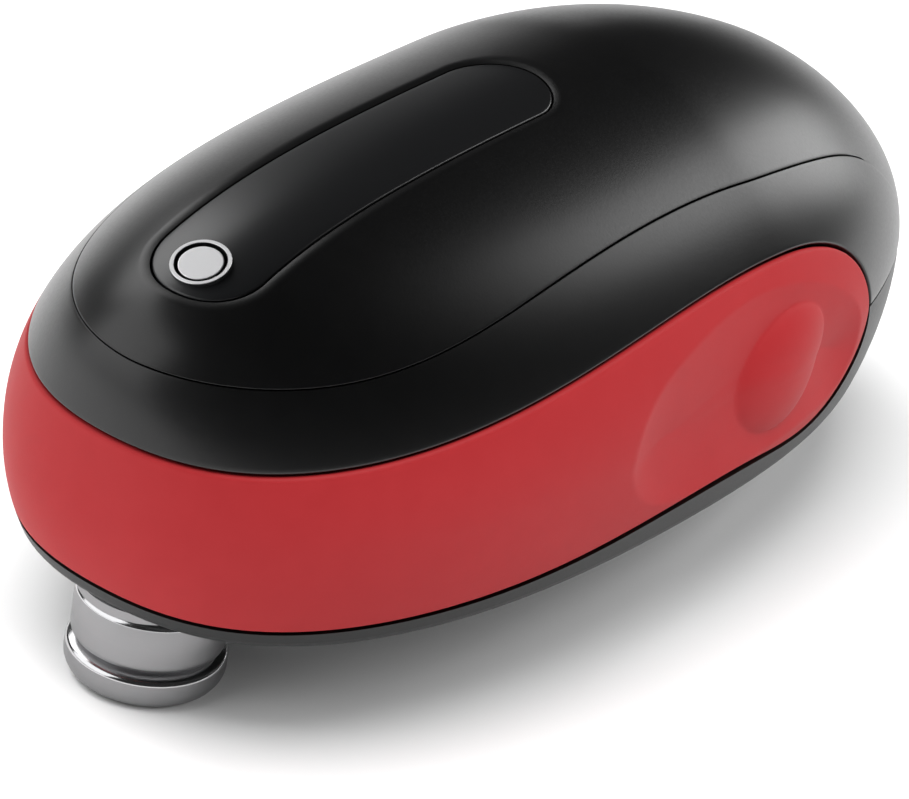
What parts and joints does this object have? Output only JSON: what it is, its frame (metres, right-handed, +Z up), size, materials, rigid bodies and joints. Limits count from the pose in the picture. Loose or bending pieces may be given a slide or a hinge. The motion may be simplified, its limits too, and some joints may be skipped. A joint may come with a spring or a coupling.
{
  "type": "electric can opener",
  "caption": "Rounded battery can opener with a steel cutter and toothed drive wheel under the nose, a start button on the crest and a soft grip band round the sides.",
  "frame": {"origin": "bottom centre of the bounding box: level with the underside of the cutter wheel, midway between nose and tail, on the centre plane", "axes": "+X from the cutting head at the nose to the tail, +Y to the left when looking along +X, +Z up along the cutter and drive axes"},
  "size_m": [0.15, 0.0715, 0.0584],
  "materials": {
    "black_shell": "satin moulded black",
    "base_shell": "fine matte dark grey",
    "red_grip": "soft-touch matte red",
    "panel_black": "soft gloss black",
    "bright_silver": "satin silver",
    "cutter_steel": "turned and polished",
    "plain_steel": "ground",
    "spring_wire": "drawn wire",
    "board_green": "solder mask",
    "switch_black": "matte",
    "gear_nylon": "natural nylon",
    "bearing_bronze": "sintered bronze",
    "pinion_brass": "machined brass",
    "plate_zinc": "zinc-plated sheet",
    "motor_zinc": "zinc-plated can",
    "tray_black": "matte",
    "cell_jacket": "printed film over metal",
    "contact_nickel": "nickel plate",
    "magnet_nickel": "nickel-plated magnet",
    "foot_rubber": "matte rubber"
  },
  "bodies": {
    "housing": {"lower_housing": "base_shell", "upper_housing": "black_shell", "top_cover": "black_shell", "button_panel": "panel_black", "button_ring": "bright_silver", "button_spring": "spring_wire", "tact_switch": "switch_black", "control_board": "board_green", "board_screws": "plain_steel", "grip_band": "red_grip", "gearbox_base": "plate_zinc", "gearbox_lid": "plate_zinc", "gearbox_pillars": "plain_steel", "gearbox_screws": "plain_steel", "motor_can": "motor_zinc", "motor_cap": "switch_black", "motor_screws": "plain_steel", "gear_axles": "plain_steel", "drive_bushing": "bearing_bronze", "cutter_bushing": "bearing_bronze", "lid_magnet": "magnet_nickel", "battery_tray": "tray_black", "battery_cells": "cell_jacket", "battery_contacts": "contact_nickel", "battery_springs": "contact_nickel", "door_pin": "plain_steel", "housing_screws": "plain_steel", "rest_feet": "foot_rubber"},
    "button": {"start_button": "bright_silver"},
    "drive": {"drive_shaft": "plain_steel", "drive_wheel": "cutter_steel", "output_gear": "gear_nylon"},
    "second": {"second_gear": "gear_nylon"},
    "first": {"first_gear": "gear_nylon"},
    "rotor": {"motor_shaft": "plain_steel", "motor_pinion": "pinion_brass"},
    "carrier": {"cutter_carrier": "cutter_steel", "carrier_collar": "plain_steel", "cutter_axle": "plain_steel"},
    "cutter": {"cutter_wheel": "cutter_steel"},
    "door": {"battery_door": "base_shell"}
  },
  "joints": [
    {"name": "start_press", "type": "slide", "parent": "housing", "child": "button", "axis": [0.3705, 0, -0.9288], "range_m": [0, 0.001], "stiffness_N_per_m": 600, "springref_m": -0.0008, "deforming": ["button_spring"]},
    {"name": "drive_spin", "type": "hinge", "parent": "housing", "child": "drive", "pos_m": [-0.0418, 0, 0], "axis": [0, 0, 1], "continuous": true},
    {"name": "second_spin", "type": "hinge", "parent": "housing", "child": "second", "pos_m": [-0.0244, 0.00811, 0], "axis": [0, 0, 1], "continuous": true},
    {"name": "first_spin", "type": "hinge", "parent": "housing", "child": "first", "pos_m": [-0.01337, -0.00114, 0], "axis": [0, 0, 1], "continuous": true},
    {"name": "motor_spin", "type": "hinge", "parent": "housing", "child": "rotor", "pos_m": [-0.00092, -0.00005, 0], "axis": [0, 0, 1], "continuous": true},
    {"name": "cutter_swing", "type": "hinge", "parent": "housing", "child": "carrier", "pos_m": [-0.0604, 0, 0], "axis": [0, 0, 1], "range_deg": [0, 180]},
    {"name": "cutter_spin", "type": "hinge", "parent": "carrier", "child": "cutter", "pos_m": [-0.062, 0, 0], "axis": [0, 0, 1], "continuous": true},
    {"name": "door_open", "type": "hinge", "parent": "housing", "child": "door", "pos_m": [0.013, 0, 0.0139], "axis": [0, 1, 0], "range_deg": [0, 80]}
  ],
  "couplings": [
    {"joint": "second_spin", "follows": "drive_spin", "ratio": -3},
    {"joint": "first_spin", "follows": "drive_spin", "ratio": 9},
    {"joint": "motor_spin", "follows": "drive_spin", "ratio": -36}
  ]
}
